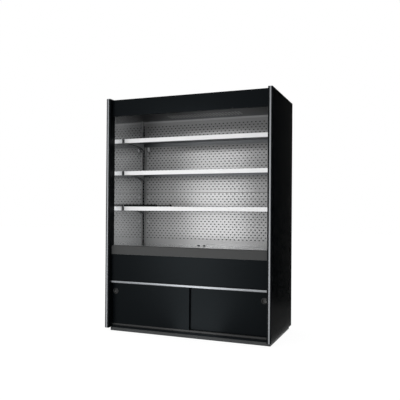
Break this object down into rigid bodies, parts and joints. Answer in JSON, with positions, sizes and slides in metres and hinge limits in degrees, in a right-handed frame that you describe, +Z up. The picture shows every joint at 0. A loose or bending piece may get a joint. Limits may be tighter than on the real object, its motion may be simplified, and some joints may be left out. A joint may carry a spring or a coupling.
{
  "type": "open multideck display fridge",
  "caption": "Open-front refrigerated display cabinet with bracketed shelves, perforated back duct, canopy, cooled tank and sliding doors over a storage base.",
  "frame": {"origin": "on the floor, at the middle of the cabinet's footprint", "axes": "+Z up, the open front faces -Y, +X to the right of someone who looks at the front"},
  "size_m": [1.46, 0.74, 2],
  "materials": {
    "black_paint": "satin",
    "aluminium": "satin",
    "polished_steel": "polished",
    "satin_steel": "satin",
    "dark_steel": "satin",
    "white_plastic": "satin",
    "lamp_diffuser": "satin",
    "grey_plastic": "matte",
    "black_plastic": "matte",
    "plinth_paint": "matte",
    "galvanised_steel": "satin",
    "compressor_paint": "gloss"
  },
  "bodies": {
    "cabinet": {"end_panel_left": "black_paint", "end_panel_right": "black_paint", "back_wall": "black_paint", "roof_panel": "black_paint", "header_panel": "black_paint", "front_panel": "black_paint", "base_floor": "black_paint", "edge_strip_left": "aluminium", "side_liner_left": "polished_steel", "upright_left": "dark_steel", "edge_strip_right": "aluminium", "side_liner_right": "polished_steel", "upright_right": "dark_steel", "bracket_bottom_left": "dark_steel", "bracket_bottom_right": "dark_steel", "bracket_middle_left": "dark_steel", "bracket_middle_right": "dark_steel", "bracket_top_left": "dark_steel", "bracket_top_right": "dark_steel", "bumper_rail": "aluminium", "ceiling_panel": "satin_steel", "ceiling_trim": "polished_steel", "duct_panel_lower": "satin_steel", "duct_panel_upper": "satin_steel", "air_discharge_grille": "black_plastic", "canopy_lamp": "lamp_diffuser", "return_air_grille": "dark_steel", "front_sill": "grey_plastic", "cold_tank": "galvanised_steel", "door_track_top": "black_plastic", "door_track_bottom": "black_plastic", "plinth": "plinth_paint", "rear_grille": "galvanised_steel", "evaporator_coil": "aluminium", "evaporator_fan_plate": "galvanised_steel", "condenser_coil": "galvanised_steel", "condenser_fan_shroud": "galvanised_steel", "compressor": "compressor_paint", "condensate_tray": "black_plastic", "control_box": "galvanised_steel"},
    "door_left": {"door_left": "black_paint", "finger_pull_left": "black_plastic"},
    "door_right": {"door_right": "black_paint", "finger_pull_right": "black_plastic"},
    "shelf_bottom": {"shelf_bottom": "satin_steel", "ticket_strip_bottom": "white_plastic", "guard_rail": "black_plastic"},
    "shelf_middle": {"shelf_middle": "satin_steel", "ticket_strip_middle": "white_plastic"},
    "shelf_top": {"shelf_top": "satin_steel", "ticket_strip_top": "white_plastic"},
    "deck": {"deck_panel": "satin_steel"},
    "evaporator_fan_left": {"evaporator_fan_left": "black_plastic"},
    "evaporator_fan_right": {"evaporator_fan_right": "black_plastic"},
    "condenser_fan": {"condenser_fan": "black_plastic"},
    "power_switch": {"power_switch": "black_plastic"},
    "foot_front_left": {"foot_front_left": "black_plastic"},
    "foot_front_right": {"foot_front_right": "black_plastic"},
    "foot_rear_left": {"foot_rear_left": "black_plastic"},
    "foot_rear_right": {"foot_rear_right": "black_plastic"}
  },
  "joints": [
    {"name": "door_left_slide", "type": "slide", "parent": "cabinet", "child": "door_left", "axis": [1, 0, 0], "range_m": [0, 0.655]},
    {"name": "door_right_slide", "type": "slide", "parent": "cabinet", "child": "door_right", "axis": [-1, 0, 0], "range_m": [0, 0.655]},
    {"name": "deck_lift", "type": "slide", "parent": "cabinet", "child": "deck", "axis": [0, 0, 1], "range_m": [0, 0.25]},
    {"name": "shelf_bottom_lift", "type": "slide", "parent": "cabinet", "child": "shelf_bottom", "axis": [0, 0, 1], "range_m": [0, 0.05]},
    {"name": "shelf_middle_lift", "type": "slide", "parent": "cabinet", "child": "shelf_middle", "axis": [0, 0, 1], "range_m": [0, 0.05]},
    {"name": "shelf_top_lift", "type": "slide", "parent": "cabinet", "child": "shelf_top", "axis": [0, 0, 1], "range_m": [0, 0.05]},
    {"name": "evaporator_fan_left_spin", "type": "hinge", "parent": "cabinet", "child": "evaporator_fan_left", "pos_m": [-0.3461, -0.11, 0.592], "axis": [0, 1, 0], "continuous": true},
    {"name": "evaporator_fan_right_spin", "type": "hinge", "parent": "cabinet", "child": "evaporator_fan_right", "pos_m": [0.3461, -0.11, 0.592], "axis": [0, 1, 0], "continuous": true},
    {"name": "condenser_fan_spin", "type": "hinge", "parent": "cabinet", "child": "condenser_fan", "pos_m": [0.47, -0.1497, 0.2003], "axis": [0, 1, 0], "continuous": true},
    {"name": "power_switch_rock", "type": "hinge", "parent": "cabinet", "child": "power_switch", "pos_m": [0.19, -0.11, 0.3847], "axis": [1, 0, 0], "range_deg": [0, 16]},
    {"name": "foot_front_left_turn", "type": "hinge", "parent": "cabinet", "child": "foot_front_left", "pos_m": [-0.64, -0.262, 0], "axis": [0, 0, 1], "continuous": true},
    {"name": "foot_front_right_turn", "type": "hinge", "parent": "cabinet", "child": "foot_front_right", "pos_m": [0.64, -0.262, 0], "axis": [0, 0, 1], "continuous": true},
    {"name": "foot_rear_left_turn", "type": "hinge", "parent": "cabinet", "child": "foot_rear_left", "pos_m": [-0.64, 0.322, 0], "axis": [0, 0, 1], "continuous": true},
    {"name": "foot_rear_right_turn", "type": "hinge", "parent": "cabinet", "child": "foot_rear_right", "pos_m": [0.64, 0.322, 0], "axis": [0, 0, 1], "continuous": true}
  ]
}
